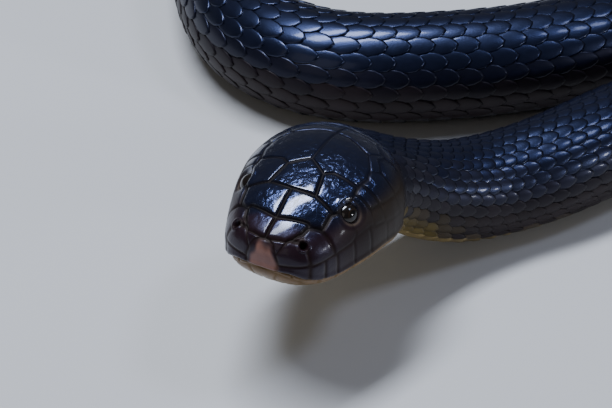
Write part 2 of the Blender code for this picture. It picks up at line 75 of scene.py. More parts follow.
# The head from the snout back, from the mouth at the snout, as the solids have it.
HEAD_HALF_WIDTH = [(0, 0), (1, 9.0), (3, 13.6), (6, 16.4), (12, 19.6), (20, 22.8), (30, 26.0), (40, 27.6),
                   (48, 27.2), (58, 24.0), (70, 20.5), (100, 18.4)]
HEAD_TOP = [(0, 2.0), (0.6, 6.4), (2.4, 9.6), (5.5, 11.4), (10, 13.0), (18.3, 16.6), (33.5, 19.2),
            (45, 20.0), (54, 19.2), (64, 17.4), (78, 17.4), (100, 20.4)]
HEAD_BOTTOM = [(0, 2.0), (1, -3.2), (3, -6.2), (6, -8.8), (12, -10.8), (20, -11.4), (30, -12.2),
               (46, -13.0), (60, -13.0), (75, -13.0), (100, -13.8)]
WIDEST_LEVEL = [(0, 2.0), (6, 0.0), (14, -1.5), (44, -1.5), (62, 1.5), (80, 3.0), (100, 3.0)]
CROWN_SQUARENESS = [(0, 2.1), (8, 2.4), (24, 2.4), (44, 2.4), (70, 2.1), (110, 2.0)]
JAW_SQUARENESS = [(0, 2.1), (20, 2.7), (50, 2.6), (80, 2.1), (110, 2.0)]
NECK_BLEND = 75.0
NECK_END = 110.0
HEAD_LENGTH = 58.0

# The left eye: its ball, the round opening in the skin and how far round it the skin slopes in.
EYE_PLACE = np.array([24.3, 16.8, 9.9])
EYE_RADIUS = 3.9
EYE_OPENING = 3.05
GAZE = np.array([-0.22, 0.88, 0.36])
ORBIT_FACING = np.array([-0.26, 0.74, 0.62])
ORBIT_REACH = 2.8

NOSTRIL_PLACE = np.array([5.9, 11.6, 8.6])
NOSTRIL_RADIUS = 1.15
NOSTRIL_DEPTH = 2.2

# The mouth line from the side, where it ends, and its relief: how high each part stands, how far
# over the line and how widely. They are the groove, the upper lip's roll and the lower lip's hollow.
MOUTH_LINE = [(-6, 0.4), (0.6, 0.2), (2.5, -1.8), (6, -3.6), (12, -4.8), (20, -4.8), (30, -4.6), (40, -5.4),
              (46, -4.6), (50, -3.0)]
MOUTH_END = 50, 46
MOUTH_RELIEF = [(-1.3, 0, 0.42), (0.40, 1.1, 0.9), (-0.45, -0.7, 0.8)]

# The head's shields. Those seen from above and below are given back and out from the middle line,
# those of the cheek back and up, and those of the snout's face out and up.
ABOVE = {
    "internasal": [(3.0, 0), (9.9, 0), (12.0, 9.8), (8.2, 10.6), (4.4, 6.4)],
    "prefrontal": [(9.9, 0), (20.3, 0), (20.7, 8.2), (18.6, 15.0), (13.0, 14.4), (12.0, 9.8)],
    "supraocular": [(20.7, 8.2), (18.9, 15.2), (24.0, 17.2), (31.2, 17.0), (31.4, 9.0), (29.6, 6.3)],
    "parietal": [(34.2, 0), (29.6, 6.3), (31.4, 9.0), (31.6, 17.2), (36.5, 19.0), (46.0, 13.4), (50.6, 5.0),
                 (51.4, 0)],
    "occipital": [(51.4, 0), (50.6, 5.0), (46.4, 13.2), (50.0, 16.0), (56.0, 12.0), (57.2, 0)],
    "frontal": [(20.3, 0), (20.7, 8.2), (29.6, 6.3), (34.2, 0), (29.6, -6.3), (20.7, -8.2)],
}
FRONT = {
    "nasal_front": [(5.6, 3.2), (5.2, 6.2), (7.4, 9.6), (11.0, 10.2), (13.6, 8.0), (14.2, 3.4)],
    "upper_lip_first": [(5.2, 0.8), (5.6, 3.1), (14.2, 3.3), (14.0, -1.6), (11.0, -0.9), (8.2, 0.0)],
    "lower_lip_first": [(5.0, -1.4), (8.4, -2.5), (11.4, -3.8), (12.6, -4.6), (10.6, -6.4), (6.2, -5.6),
                        (4.0, -4.0)],
    "rostral": [(-5.0, 0.8), (-5.4, 4.0), (-3.0, 8.4), (0, 9.8), (3.0, 8.4), (5.4, 4.0), (5.0, 0.8),
                (0, 1.5)],
    "mental": [(-4.4, -1.4), (0, -1.0), (4.4, -1.4), (3.2, -4.0), (0, -5.0), (-3.2, -4.0)],
}
CHEEK = {
    "nasal_back": [(5.0, 3.2), (4.8, 8.4), (5.8, 10.8), (8.8, 11.6), (12.6, 10.6), (12.2, 3.6)],
    "preocular": [(12.2, 3.6), (12.6, 10.6), (17.8, 13.2), (21.2, 12.0), (20.6, 6.6), (18.5, 4.4)],
    "postocular_low": [(28.6, 5.2), (29.9, 9.6), (33.4, 9.4), (32.8, 4.6)],
    "postocular_high": [(30.0, 10.2), (29.6, 14.4), (33.2, 15.6), (33.6, 10.0)],
    "temporal_front_low": [(33.2, 3.8), (33.8, 9.6), (41.6, 8.6), (41.0, 2.6)],
    "temporal_front_high": [(33.8, 9.6), (33.6, 15.6), (38.0, 16.2), (42.4, 14.0), (41.6, 8.6)],
    "temporal_back_low": [(41.0, 2.6), (41.6, 8.6), (49.6, 8.2), (51.0, 4.6), (49.8, 0.6)],
    "temporal_back_high": [(41.6, 8.6), (42.4, 14.0), (46.5, 15.0), (50.0, 13.8), (51.4, 11.2),
                           (49.6, 8.2)],
    "cheek_end_low": [(49.8, 0.6), (51.0, 4.6), (49.6, 8.2), (55.4, 8.6), (57.4, 4.6), (55.8, 0.4)],
    "cheek_end_high": [(49.6, 8.2), (51.4, 11.2), (50.0, 13.8), (55.2, 14.6), (57.6, 11.6), (55.4, 8.6)],
    "cheek_end_lip": [(49.6, -0.4), (49.8, 0.6), (55.8, 0.4), (56.6, -2.8), (54.0, -6.2), (49.8, -4.4)],
}
BELOW = {
    "chin_front": [(8.0, 0), (8.4, 5.6), (18.0, 6.6), (18.9, 0)],
    "chin_back": [(18.9, 0), (18.4, 6.7), (28.6, 6.4), (29.4, 0)],
}

# The shields along the lips: where they meet, their far edges over the mouth or how deep they are
# under it, and how far back their edges lean.
UPPER_LIP_PARTS = [4.2, 8.0, 12.2, 18.8, 25.6, 33.0, 41.2, 49.6]
UPPER_LIP_TOPS = [2.9, 3.1, 3.6, 4.4, 5.6, 3.9, 2.6, -0.4]
UPPER_LIP_LEAN = 0.5
LOWER_LIP_PARTS = [3.4, 7.4, 12.8, 19.2, 26.0, 33.0, 39.6, 45.6]
LOWER_LIP_HEIGHT = 3.6
LOWER_LIP_LEAN = 0.4

# A shield counts from here to here as its skin turns away from the view that shows it, given as the
# normal's share towards that view. The snout's face also ends this far back.
ABOVE_TURNS = 0.30, 0.10
SIDE_TURNS = 0.32, 0.12
FRONT_TURNS = 0.30, 0.12
BELOW_TURNS = 0.40, 0.20
FACE_ENDS = 7.5, 9.5
TURNED_AWAY = 4.0

# How the shields stand: the seam's width and depth, how far a shield's middle domes up and over what
# distance, and how far outside its outline a shield still counts. The seams are fainter on the
# crown's back and the cheeks, and dull. They are painted dark, partly their own dark tone and partly
# painted shade in their grooves.
SEAM_WIDTH = 0.46
SEAM_DEPTH = 0.55
SHIELD_RISE = 0.35
SHIELD_DOME = 0.16
DOME_REACH = 1.6
SHIELD_REACH = 1.1
BACK_SEAMS = 0.35
CHEEK_SEAMS = 0.3
FULL_SEAMS_AT, FULL_SEAMS_UP = (38, 22), (7, 11)
SEAM_TONE_AND_SHADE = 0.85
SEAM_DULLNESS = 2.5

# The throat's small scales, as relief: their width and length, their seams, and how high they stand.
THROAT_SCALE = 3.8, 5.6
THROAT_SEAM_WIDTH = 0.34
THROAT_SEAM_DEPTH = 0.34
THROAT_RISE = 0.3

# The skin's mesh: how many points round the head, how much closer they lie over the back than under
# the belly, and the steps along the head. Behind it come coarser stretches, with their points and
# step, and the last runs on to just before the tail's tip.
HEAD_SIDES = 384
CROWDING = 0.25
HEAD_STEP = 0.335
SNOUT_STEPS = 50
SNOUT_REACH = 6.0
PAST_HEAD = 3.0
COARSER = [(HEAD_SIDES // 2, 1.5), (HEAD_SIDES // 4, 3.0), (HEAD_SIDES // 8, 12.0)]
STRETCH = 6.0
BEFORE_TIP = 1.5

# The coat lies this deep on the skin and thins out over the tail, from so far before its tip to
# nothing so far behind it. Scales start behind the shields: at the nape, cheek and throat.
COAT = 1.0
THIN_BEFORE = 260.0
THIN_BEHIND = 120.0
COAT_START = [(-math.pi / 2, 47.0), (-0.8, 49.0), (-0.3, 55.5), (0.2, 57.0), (math.pi / 2, 58.6)]
COAT_SCALLOPS = 9
COAT_SCALLOP_DEPTH = 0.8

# Counted in mm from the scales' start towards the snout: where the skin steps down under them, where
# the head's markings and relief are full, and how much relief is left. Behind it the first rows end.
COAT_STEP = 0.6, -1.4
MARKS_FULL = -1, 9
RELIEF_FULL, LEAST_RELIEF = (0.5, 7), 0.15
FIRST_ROWS = 9, 1

# Rows of scales round the back and sides, counted from the middle of the back. The outer rows run
# out one after another at these distances from the snout, and the tail's last bit is bare.
ROW_ENDS = {9: 430, 8: 900, 7: 2290, 6: 2370, 5: 2450, 4: 2530, 3: 2620, 2: 2710}
ROW_FADE = 45.0
LEAST_WIDTH = 0.35
TAIL_SPINE = 6.0
COAT_FROM = 40.0
BELLY_PLATE_TURN = 0.90
BELLY_PLATE_LENGTH = 1.38
BELLY_PLATE_WIDTH = 1.10
PITCH_TO_WIDTH = 1.32
SCALE_LENGTH = 1.55
SCALE_WIDTH = 1.26

# The share of its length by which a plate's root lies before its place.
SCALE_ROOT_BEFORE, BELLY_ROOT_BEFORE = 0.25, 0.2

# A plate's form: its thickness, how high its root lies, how much higher the roots of the first rows
# do, how far its edge and its sides drop, and how quickly it rises to its free end.
SCALE_THICKNESS = 0.42
ROOT = 0.12
FIRST_ROOTS = 0.5
EDGE_DROP = 0.26
SIDE_DROP = 0.05
RISE_POWER = 0.85

# How much plates differ, as one standard deviation: how far they tip in mm, their size and turn, how
# far off their place they read their colour, and how much darker or lighter it is. They read it at
# this share of their length.
TIP_ACROSS, TIP_ALONG = 0.035, 0.03
SIZE_VARIES, TURN_VARIES = 0.025, 0.008
READ_ALONG, READ_ROUND, SHADE_VARIES = 7, 0.08, 0.10
READ_FROM = 0.6


def hermite(start, end, start_slope, end_slope, w):
    """The smooth curve between two ends with their slopes, read at shares w of the way."""
    value = start * (1 + 2 * w) * (1 - w) ** 2 + end * w * w * (3 - 2 * w)
    return value + start_slope * w * (1 - w) ** 2 + end_slope * w * w * (w - 1)


def smooth_steps(knots, places):
    """A smooth curve through the knots that never swings past them, read at the given places."""
    x, y = np.array(knots, float).T
    run = np.diff(x)
    rise = np.diff(y) / run
    slope = np.concatenate([rise[:1], np.zeros(len(x) - 2), rise[-1:]])
    for i in range(1, len(x) - 1):
        if rise[i - 1] * rise[i] > 0:
            first = 2 * run[i] + run[i - 1]
            second = run[i] + 2 * run[i - 1]
            slope[i] = (first + second) / (first / rise[i - 1] + second / rise[i])
    places = np.clip(np.asarray(places, float), x[0], x[-1])
    i = np.clip(np.searchsorted(x, places, "right") - 1, 0, len(run) - 1)
    return hermite(y[i], y[i + 1], run[i] * slope[i], run[i] * slope[i + 1], (places - x[i]) / run[i])


def blunt(knots, places):
    """The same curve over the root of the distance, which rounds the snout off bluntly."""
    return smooth_steps([(math.sqrt(at), value) for at, value in knots], np.sqrt(places))


def fade(value, low, high):
    """0 under low, 1 over high, and a soft slope between. It falls where high is the smaller."""
    w = np.clip((np.asarray(value, float) - low) / (high - low), 0, 1)
    return w * w * (3 - 2 * w)


def bell(value, middle, spread):
    """1 at the middle, falling softly to 0 on both sides of it."""
    return np.exp(-((value - middle) / spread) ** 2)


def at_least(least, share):
    """A share from 0 to 1, drawn in so that it never falls under the least."""
    return least + (1 - least) * share


def mix(first, second, share):
    """The first value where the share is 0, the second where it is 1."""
    return first * (1 - share) + second * share


def unit(vectors):
    return vectors / np.linalg.norm(vectors, axis=-1, keepdims=True)


def head_axes():
    """Unit vectors of the head: back, left and up."""
    heading = math.radians(HEAD_HEADING)
    roll = math.radians(HEAD_ROLL)
    back = np.array([math.cos(heading), math.sin(heading), 0.0])
    level_left = np.array([math.sin(heading), -math.cos(heading), 0.0])
    left = math.cos(roll) * level_left - math.sin(roll) * np.cross(level_left, back)
    return back, left, np.cross(left, back)


HEAD_AXES = np.stack(head_axes())


def in_head(points):
    """Points in head axes: back from the snout, left of the middle and up from the mouth."""
    return (points - SNOUT_TIP) @ HEAD_AXES.T


def from_head(place):
    """The points in space of places in head axes."""
    return SNOUT_TIP + np.asarray(place, float) @ HEAD_AXES


def left_half(place):
    """Places of the head with those of the right half mirrored to the left."""
    return np.stack([place[:, 0], np.abs(place[:, 1]), place[:, 2]], axis=1)


def spline(points, first_direction):
    """Points about a millimetre apart on the smooth curve through the given points."""
    points = np.array(points, float)
    steps = np.diff(points, axis=0)
    h = np.linalg.norm(steps, axis=1)
    count = len(points)
    rows = np.zeros((count, count))
    sums = np.zeros((count, 3))
    rows[0, 0] = 1
    sums[0] = first_direction
    for i in range(1, count - 1):
        rows[i, i - 1:i + 2] = 1 / h[i - 1], 2 / h[i - 1] + 2 / h[i], 1 / h[i]
        sums[i] = 3 * (steps[i - 1] / h[i - 1] ** 2 + steps[i] / h[i] ** 2)
    rows[-1, -2:] = 1, 2
    sums[-1] = 3 * steps[-1] / h[-1]
    slopes = np.linalg.solve(rows, sums)
    pieces = []
    for i in range(count - 1):
        w = np.linspace(0, 1, max(2, int(h[i])), endpoint=False)[:, None]
        pieces.append(hermite(points[i], points[i + 1], h[i] * slopes[i], h[i] * slopes[i + 1], w))
    return np.concatenate(pieces + [points[-1:]])


def route_points():
    """The route in space, with the spine's height over the floor worked out from the girth."""
    points = [from_head([SKULL_LENGTH, 0, SPINE_ABOVE_MOUTH])]
    along = SKULL_LENGTH
    for place in NECK_ROUTE + OUTER_TURN + FRONT_LOOP + INNER_TURN:
        flat = SNOUT_TIP[:2] + np.array(place[:2], float)
        along += np.linalg.norm(flat - points[-1][:2])
        height = place[2] if len(place) == 3 else BELLY_FLAT * float(smooth_steps(GIRTH, along))
        points.append(np.array([flat[0], flat[1], height]))
    return points


def make_spine():
    """Distances from the snout and the spine's points there, a millimetre apart."""
    back = HEAD_AXES[0]
    start = from_head([0, 0, SPINE_ABOVE_MOUTH])
    skull = [start + back * step for step in np.arange(0, SKULL_LENGTH)]
    curve = np.concatenate([skull, spline(route_points(), back)])
    along = np.concatenate([[0], np.cumsum(np.linalg.norm(np.diff(curve, axis=0), axis=1))])
    even = np.arange(0, math.floor(along[-1]) + 1, 1.0)
    return even, np.stack([np.interp(even, along, curve[:, axis]) for axis in range(3)], axis=1)


ALONG, SPINE = make_spine()
SPINE_SLOPE = np.gradient(SPINE, axis=0)
TOTAL_LENGTH = float(ALONG[-1])


def on_spine(along):
    """The spine's points at distances from the snout, read smoothly between its millimetres."""
    along = np.clip(along, 0, TOTAL_LENGTH)
    i = np.minimum(along.astype(int), len(SPINE) - 2)
    return hermite(SPINE[i], SPINE[i + 1], SPINE_SLOPE[i], SPINE_SLOPE[i + 1], (along - i)[..., None])


def spine_frames(along):
    """The spine's points at distances from the snout, with its side and up there."""
    near = 2.0
    direction = unit(on_spine(along + near) - on_spine(along - near))
    side = unit(np.cross(direction, [0, 0, 1]))
    up = np.cross(side, direction)
    roll = (math.radians(HEAD_ROLL) * np.maximum(0, 1 - along / NECK_END))[..., None]
    return on_spine(along), np.cos(roll) * side - np.sin(roll) * up, np.cos(roll) * up + np.sin(roll) * side


def section_shape(along):
    """The widest line's height over the spine, half width, height over and depth under that line,
    and the squareness of the section above and below it."""
    body = smooth_steps(GIRTH, along)
    share = smooth_steps([(NECK_BLEND, 0), (NECK_END, 1)], along)
    level = blunt(WIDEST_LEVEL, along)
    half = mix(blunt(HEAD_HALF_WIDTH, along), body, share)
    top = mix(blunt(HEAD_TOP, along) - level, body, share)
    under = mix(level - blunt(HEAD_BOTTOM, along), body, share)
    crown = smooth_steps(CROWN_SQUARENESS, along)
    jaw = smooth_steps(JAW_SQUARENESS, along)
    return (level - SPINE_ABOVE_MOUTH) * (1 - share), half, top, under, crown, jaw


def on_body(along, turn, height):
    """Points of the body at distances from the snout and turns round it, at a height over the skin.
    Where the belly lies on the floor it is flat."""
    along, turn, height = np.broadcast_arrays(np.asarray(along, float), turn, height)
    level, half, top, under, crown, jaw = section_shape(along)
    across, rise = np.cos(turn), np.sin(turn)
    power = np.where(rise >= 0, crown, jaw)
    tall = np.where(rise >= 0, top, under)
    wide = np.abs(across / half)
    high = np.abs(rise / tall)
    reach = (wide ** power + high ** power) ** (-1 / power)
    facing = unit(np.stack([np.sign(across) * (wide * reach) ** (power - 1) / half,
                            np.sign(rise) * (high * reach) ** (power - 1) / tall], axis=-1))
    point, side, up = spine_frames(along)
    thin = fade(along, TOTAL_LENGTH + THIN_BEHIND, TOTAL_LENGTH - THIN_BEFORE)
    lift = (height - COAT) * thin
    place = point + (reach * across + lift * facing[..., 0])[..., None] * side
    place += (level + reach * rise + lift * facing[..., 1])[..., None] * up
    place[..., 2] = np.maximum(place[..., 2], (COAT - height) * thin)
    return place


def turned_from(middle, turn):
    """How far turns round the body are from the middle one, to either side."""
    return np.abs((np.asarray(turn) - middle + math.pi) % (2 * math.pi) - math.pi)


def coat_start(turn):
    """How far from the snout the scales begin, at a turn round the head."""
    from_belly = turned_from(UNDER_BELLY, turn)
    scallop = np.abs(np.sin(COAT_SCALLOPS * from_belly))
    return smooth_steps(COAT_START, from_belly - math.pi / 2) + COAT_SCALLOP_DEPTH * (scallop - 0.5)


def colour(code):
    """The linear colour of an sRGB hex value."""
    parts = np.array([int(code[i:i + 2], 16) / 255 for i in (1, 3, 5)])
    return np.where(parts <= 0.04045, parts / 12.92, ((parts + 0.055) / 1.055) ** 2.4)


def new_object(name, data):
    """An object with this data, in the scene."""
    made = bpy.data.objects.new(name, data)
    bpy.context.scene.collection.objects.link(made)
    return made


def new_mesh(name, points, faces, smooth=True):
    """A mesh object from points in millimetres and arrays of faces, each of one count of corners."""
    mesh = bpy.data.meshes.new(name)
    mesh.vertices.add(len(points))
    mesh.vertices.foreach_set("co", (np.asarray(points, float) * MM).astype(np.float32).ravel())
    counts = np.concatenate([np.full(len(group), group.shape[1]) for group in faces])
    corners = np.concatenate([group.ravel() for group in faces])
    mesh.loops.add(len(corners))
    mesh.loops.foreach_set("vertex_index", corners.astype(np.int32))
    mesh.polygons.add(len(counts))
    mesh.polygons.foreach_set("loop_start", (np.cumsum(counts) - counts).astype(np.int32))
    mesh.polygons.foreach_set("use_smooth", np.full(len(counts), smooth))
    mesh.update(calc_edges=True)
    return new_object(name, mesh)


def fan(middle, ring):
    """Triangles from one point to each side of a ring of points."""
    return np.stack([np.full(len(ring), middle), ring, np.roll(ring, -1)], axis=1)


def turned_over(faces):
    """The same faces the other way round, each from the same corner on."""
    return np.concatenate([faces[:, :1], faces[:, :0:-1]], axis=1)


def stitch(counts, start=0):
    """Faces between neighbouring rings of so many points, also where the count halves."""
    quads = []
    triangles = []
    for sides, following in zip(counts[:-1], counts[1:]):
        then = start + sides
        i = np.arange(following)
        j = (i + 1) % following
        if following == sides:
            quads.append(np.stack([start + j, start + i, then + i, then + j], axis=1))
        else:
            a, b, c = start + 2 * i, start + 2 * i + 1, start + (2 * i + 2) % sides
            for corners in ([b, a, then + i], [c, b, then + j], [then + j, b, then + i]):
                triangles.append(np.stack(corners, axis=1))
        start = then
    return np.concatenate(quads), triangles


def round_faces(sides, rings):
    """Faces of a closed form with a point at each end and rings of points between them."""
    ring = 1 + np.arange(sides)
    last = 1 + rings * sides
    triangles = [fan(0, ring), turned_over(fan(last, ring + last - 1 - sides))]
    return np.concatenate(triangles), stitch([sides] * rings, 1)[0]


def paint(piece, colours):
    """Keeps a linear colour for each point of the piece, for its material to read."""
    layer = piece.data.color_attributes.new("Marking", "FLOAT_COLOR", "POINT")
    full = np.concatenate([colours, np.ones((len(colours), 1))], axis=1)
    layer.data.foreach_set("color", full.astype(np.float32).ravel())


def shine(piece, polish):
    """Keeps for each point how glossy it is, from 0 to 1."""
    layer = piece.data.attributes.new("Polish", "FLOAT", "POINT")
    layer.data.foreach_set("value", polish.astype(np.float32))


# The markings, as functions of the place on the animal. Skin and scales both read them.

CROWN_BLACK = colour("#070a18")
SNOUT_PURPLE = colour("#1d0f13")
ROSTRAL_PINK = colour("#7d594c")
TEMPLE_BROWN = colour("#251e18")
# The orbit's rim: a painted highlight, lighter than the skin round it.
ORBIT_RIM_HIGHLIGHT = colour("#54473a")
LIP_TAN = colour("#77603f")
THROAT_CREAM = colour("#8d7a50")
BACK_BLACK = colour("#080a15")
NAPE_BROWN = colour("#1b191d")
FLANK_BROWN = colour("#231c1f")
NECK_YELLOW = colour("#64562a")
BELLY_SLATE = colour("#3e3d40")
PUPIL_BLACK = colour("#030203")
IRIS_BROWN = colour("#130c08")
IRIS_BRONZE = colour("#33230f")
EYE_BACK = colour("#0a0707")

# Each pair is a soft border, where a marking begins and where it is full. UP is the height in head
# axes, OVER the height over the mouth line, AT the distance from the snout, and TURN the turn from
# the middle of the back.
TEMPLE_UP, TEMPLE_AT = (14.0, 8.0), (12, 34)
SNOUT_UP, SNOUT_AT, SNOUT_TOP_AT = (13.0, 8.5), (34, 14), (12.5, 9.5)
LIP_OVER, LIP_AT = (2.6, 0.2), (10, 44)
PATCH_UP, PATCH_AT = (10.4, 6.8), (4.6, 2.4)
JAW_OVER, JAW_AT = (0.25, -0.25), (54, 47)
CHIN_OVER, JAW_YELLOW_AT = (-2.5, -6.5), (36, 50)
NAPE_AT, NAPE_TURN = (200, 70), (0.2, 1.0)
FLANK_TURN = 1.1, 1.9
YELLOW_FROM_AT, YELLOW_TO_AT, YELLOW_TURN = (52, 62), (106, 84), (1.55, 1.95)
BELLY_TURN = math.pi - BELLY_PLATE_TURN - 0.15, math.pi - BELLY_PLATE_TURN + 0.2
THROAT_AT = 180, 85
LIP_POLISH_AT, CROWN_POLISH_AT, CROWN_POLISH_UP = (24, 6), (4.5, 10.5), (9.0, 13.5)
BACK_POLISH_TURN = 1.7, 0.8


def layered(count, ground, *layers):
    """The colours of so many points: the ground's, with each layer's laid over it by its share."""
    found = np.tile(ground, (count, 1))
    for tone, share in layers:
        found = mix(found, tone, share[:, None])
    return found


def mouth_height(along):
    """The mouth line's height at a distance from the snout."""
    return np.interp(along, *np.array(MOUTH_LINE, float).T)


def around_eye(place):
    """Each head point's offset from the eye's middle, its height along the orbit's axis, and how far
    it is from that axis."""
    offset = left_half(place) - EYE_PLACE
    axis = unit(ORBIT_FACING)
    height = offset @ axis
    return offset, height, np.linalg.norm(offset - height[:, None] * axis, axis=1)


def rostral_patch(along, left, up):
    """The pale patch on the snout's front: narrower above, with a soft and uneven edge."""
    middle, half_at_top, widening, top, soft = 0.5, 2.3, 0.41, 8.5, 1.0
    half = half_at_top + widening * np.maximum(top - up, 0) + 0.35 * np.sin(1.1 * up + 0.8 * left)
    across = fade(np.abs(left - middle), half + soft, half - soft)
    return across * fade(up + 0.5 * np.sin(1.2 * left), *PATCH_UP) * fade(along, *PATCH_AT)


def eye_rim_highlight(place):
    """A thin, lighter ring round each eye, plainest below: a painted highlight where the orbit's rim catches
    the light.
    """
    from_edge, spread = 0.7, 0.32
    offset, height, radius = around_eye(place)
    below = fade(offset[:, 2], 1.5, -1.0)
    return (0.2 + 0.6 * below) * bell(radius - EYE_OPENING, from_edge, spread) * (height > -1)


def head_marking(place):
    """The skin's colour at places of the head, in head axes."""
    along, left, up = place.T
    over_mouth = up - mouth_height(along)
    snout_side = fade(up, *SNOUT_UP) * fade(along, *SNOUT_AT)
    snout_top = fade(along + 0.25 * np.abs(left), *SNOUT_TOP_AT)
    jaw = fade(over_mouth, *JAW_OVER) * fade(along, *JAW_AT)
    return layered(
        len(place), CROWN_BLACK,
        (TEMPLE_BROWN, fade(up, *TEMPLE_UP) * fade(along, *TEMPLE_AT)),
        (SNOUT_PURPLE, np.maximum(snout_side, snout_top)),
        (LIP_TAN, 0.4 * fade(over_mouth, *LIP_OVER) * fade(along, *LIP_AT)),
        (ROSTRAL_PINK, rostral_patch(along, left, up) ** 1.6),
        (LIP_TAN, jaw),
        (THROAT_CREAM, jaw * fade(over_mouth, *CHIN_OVER)),
        (NECK_YELLOW, 0.7 * jaw * fade(along, *JAW_YELLOW_AT)),
        (ORBIT_RIM_HIGHLIGHT, eye_rim_highlight(place)))


def body_marking(along, turn):
    """The colour of the skin or of a scale at a distance from the snout and a turn round the body."""
    from_back = turned_from(OVER_BACK, turn)
    yellow = fade(along, *YELLOW_FROM_AT) * fade(along, *YELLOW_TO_AT) * fade(from_back, *YELLOW_TURN)
    under = layered(len(along), BELLY_SLATE, (THROAT_CREAM, fade(along, *THROAT_AT)))
    return layered(
        len(along), BACK_BLACK,
        (NAPE_BROWN, fade(along, *NAPE_AT) * fade(from_back, *NAPE_TURN)),
        (FLANK_BROWN, fade(from_back, *FLANK_TURN)),
        (NECK_YELLOW, 0.9 * yellow),
        (under, fade(from_back, *BELLY_TURN)))


def head_polish(place):
    """How glossy the head is: the crown fully, the cheeks hardly, the snout and lips between."""
    along, up = place[:, 0], place[:, 2]
    cheek = 0.1 + 0.5 * fade(along, *LIP_POLISH_AT)
    return at_least(cheek, fade(up, *CROWN_POLISH_UP) * fade(along, *CROWN_POLISH_AT))


def body_polish(turn):
    """How glossy the body is: the back fully, the flanks and belly less."""
    return at_least(0.15, fade(turned_from(OVER_BACK, turn), *BACK_POLISH_TURN))


def iris_colour(from_pupil, turn):
    """Colours at degrees from the pupil's middle: black, a thin bronze edge, a very dark brown iris,
    and near black behind."""
    pupil_edge, bronze, behind = (25, 28), (29, 2.0), (60, 75)
    streaks = 0.8 + 0.2 * np.sin(23 * turn) * np.sin(7 * turn + 1)
    return layered(
        len(from_pupil), PUPIL_BLACK,
        (IRIS_BROWN * streaks[:, None], fade(from_pupil, *pupil_edge)),
        (IRIS_BRONZE, 0.6 * bell(from_pupil, *bronze)),
        (EYE_BACK, fade(from_pupil, *behind)))


# The head's relief.


def edge_distance(points, a, b):
    """Each flat point's distance from the edge between two corners."""
    edge = b - a
    share = np.clip((points - a) @ edge / (edge @ edge), 0, 1)
    return np.linalg.norm(points - a - share[:, None] * edge, axis=1)


def inside_by(points, outline):
    """How far each flat point is inside the outline, less than nothing outside."""
    corners = np.array(outline, float)
    inside = np.zeros(len(points), bool)
    nearest = np.full(len(points), np.inf)
    for a, b in zip(corners, np.roll(corners, -1, axis=0)):
        nearest = np.minimum(nearest, edge_distance(points, a, b))
        crosses = (a[1] > points[:, 1]) != (b[1] > points[:, 1])
        run, rise = b - a
        inside ^= crosses & (points[:, 0] < a[0] + (points[:, 1] - a[1]) * run / (rise or 1))
    return np.where(inside, nearest, -nearest)


def lip_outlines(parts, edges, lean):
    """The shields along one lip, seen from the side, from the mouth line to their far edges."""
    for i in range(len(parts) - 1):
        front, back = parts[i:i + 2]
        yield [(front, mouth_height(front)), (front + lean, edges[i]),
               (back + lean, edges[i + 1]), (back, mouth_height(back))]


def side_outlines():
    """All the shields seen from the side. Those of the lower lip grow deeper towards the back."""
    bottoms = [mouth_height(at) - min(1.0, 0.5 + at / 12) * LOWER_LIP_HEIGHT for at in LOWER_LIP_PARTS]
    return [*CHEEK.values(), *lip_outlines(UPPER_LIP_PARTS, UPPER_LIP_TOPS, UPPER_LIP_LEAN),
            *lip_outlines(LOWER_LIP_PARTS, bottoms, LOWER_LIP_LEAN)]


def on_middle_line(place, normal):
    """Where the twins of the crown's and the chin's shields meet, along the head's middle."""
    crown_front = ABOVE["internasal"][0][0]
    chin_front, chin_back = BELOW["chin_front"][0][0], BELOW["chin_back"][-1][0]
    along = place[:, 0]
    in_frontal = inside_by(left_half(place)[:, :2], ABOVE["frontal"]) >= 0
    crown = (normal[:, 2] > 0.15) & ~in_frontal & (along > crown_front)
    return crown | ((normal[:, 2] < -0.3) & (along > chin_front) & (along < chin_back))


def seam_distance(place, normal):
    """Each head point's distance from the seams between shields, and whether a shield covers it.
    A seam runs where a point is as far inside one shield as inside the next."""
    half = left_half(place)
    face = np.maximum(fade(-normal[:, 0], *FRONT_TURNS), fade(place[:, 0], *FACE_ENDS))
    # The points as each view shows them, how far they turn away from it, and its shields.
    views = [
        (half[:, [0, 1]], fade(normal[:, 2], *ABOVE_TURNS), ABOVE.values()),
        (half[:, [0, 2]], fade(np.abs(normal[:, 1]), *SIDE_TURNS), side_outlines()),
        (half[:, [1, 2]], face, FRONT.values()),
        (half[:, [0, 1]], fade(-normal[:, 2], *BELOW_TURNS), BELOW.values()),
    ]
    best = np.full(len(place), -SHIELD_REACH)
    second = best.copy()
    for flat, turned, outlines in views:
        for shape in outlines:
            low, high = np.min(shape, axis=0) - SHIELD_REACH, np.max(shape, axis=0) + SHIELD_REACH
            near = np.flatnonzero((turned < 1) & (flat >= low).all(axis=1) & (flat <= high).all(axis=1))
            depth = inside_by(flat[near], shape) - TURNED_AWAY * turned[near]
            second[near] = np.maximum(second[near], np.minimum(depth, best[near]))
            best[near] = np.maximum(best[near], depth)
    apart = (best - second) / 2
    apart = np.where(on_middle_line(place, normal), np.minimum(apart, half[:, 1]), apart)
    return apart, fade(best, -SHIELD_REACH, -0.5 * SHIELD_REACH)


def mouth_distance(place):
    """Each head point's distance from the mouth line seen from the side, less than nothing under it."""
    line = np.array(MOUTH_LINE, float)
    off = np.min([edge_distance(place[:, [0, 2]], a, b) for a, b in zip(line[:-1], line[1:])], axis=0)
    return np.where(place[:, 2] > mouth_height(place[:, 0]), off, -off)


def seam_strength(place):
    """The seams are deep and dark on the front of the crown, and faint on its back and on the cheeks.
    Their darkness is partly their own tone and partly painted shade.
    """
    on_front = at_least(BACK_SEAMS, fade(place[:, 0], *FULL_SEAMS_AT))
    return on_front * at_least(CHEEK_SEAMS, fade(place[:, 2], *FULL_SEAMS_UP))


